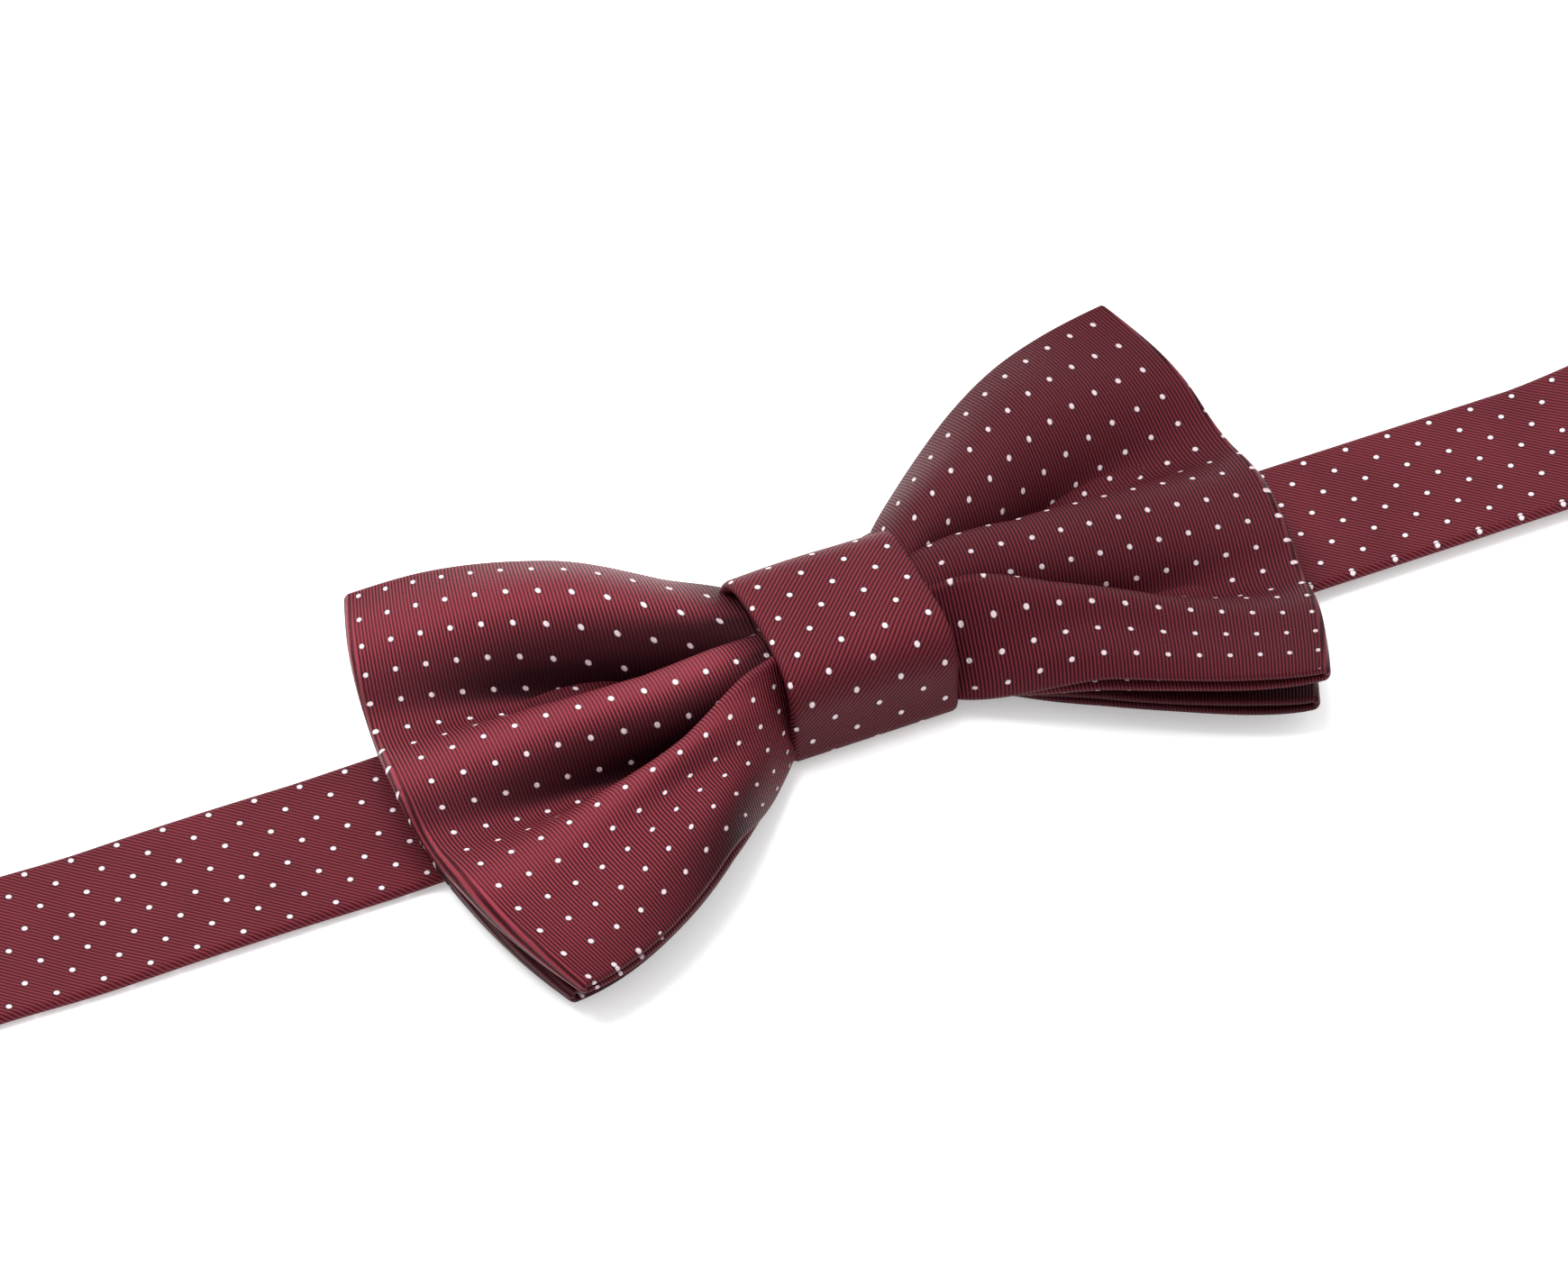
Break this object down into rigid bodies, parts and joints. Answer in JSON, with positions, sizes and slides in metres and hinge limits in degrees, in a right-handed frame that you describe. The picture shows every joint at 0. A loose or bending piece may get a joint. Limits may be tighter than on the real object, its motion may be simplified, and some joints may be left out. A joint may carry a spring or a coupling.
{
  "type": "bow tie",
  "caption": "Pre-tied double bow tie in dotted ribbed silk with an adjustable neckband, hook and eye, laid open on its back.",
  "frame": {"origin": "middle of the knot's flat back, on the surface that the bow tie lies on", "axes": "+X along the neckband towards its adjustable end, +Y towards the bow's upper edge, +Z out of the front of the bow"},
  "size_m": [0.4335, 0.0699, 0.0164],
  "materials": {
    "bow_silk": "ribbed silk twill with small woven white dots, soft sheen",
    "band_silk": "the same silk cut on the bias, matte",
    "canvas": "woven wool interlining",
    "thread": "twisted sewing thread",
    "nickel": "polished nickel plate"
  },
  "bodies": {
    "bow": {"front_bow_silk": "bow_silk", "front_bow_interlining": "canvas", "back_bow_silk": "bow_silk", "back_bow_interlining": "canvas", "gather_thread": "thread", "knot_band_silk": "band_silk", "knot_band_interlining": "canvas", "knot_back_stitching": "thread", "neckband_hook_side": "band_silk", "neckband_hook_side_interlining": "canvas", "hook_end_bar_tack": "thread", "neckband_slider_side": "band_silk", "neckband_slider_side_interlining": "canvas"},
    "hook": {"hook": "nickel"},
    "eye_end": {"neckband_eye_turn": "band_silk"},
    "eye": {"eye_ring": "nickel"},
    "slider": {"slider": "nickel", "neckband_slider_turn": "band_silk", "slider_end_bar_tack": "thread", "neckband_return_run": "band_silk"}
  },
  "joints": [
    {"name": "neckband_length", "type": "slide", "parent": "bow", "child": "eye_end", "axis": [1, 0, 0], "range_m": [-0.027, 0.045], "deforming": ["neckband_slider_side", "neckband_slider_side_interlining"]},
    {"name": "slider_travel", "type": "slide", "parent": "eye_end", "child": "slider", "axis": [1, 0, 0], "range_m": [-0.027, 0.045], "deforming": ["neckband_return_run"]},
    {"name": "eye_swing", "type": "hinge", "parent": "eye_end", "child": "eye", "pos_m": [0.205, 0, 0.00415], "axis": [0, 1, 0], "range_deg": [-100, 100]},
    {"name": "hook_swing", "type": "hinge", "parent": "bow", "child": "hook", "pos_m": [-0.2, 0, 0.0026], "axis": [0, 1, 0], "range_deg": [-100, 100]}
  ],
  "couplings": [
    {"joint": "slider_travel", "follows": "neckband_length", "ratio": 1}
  ]
}
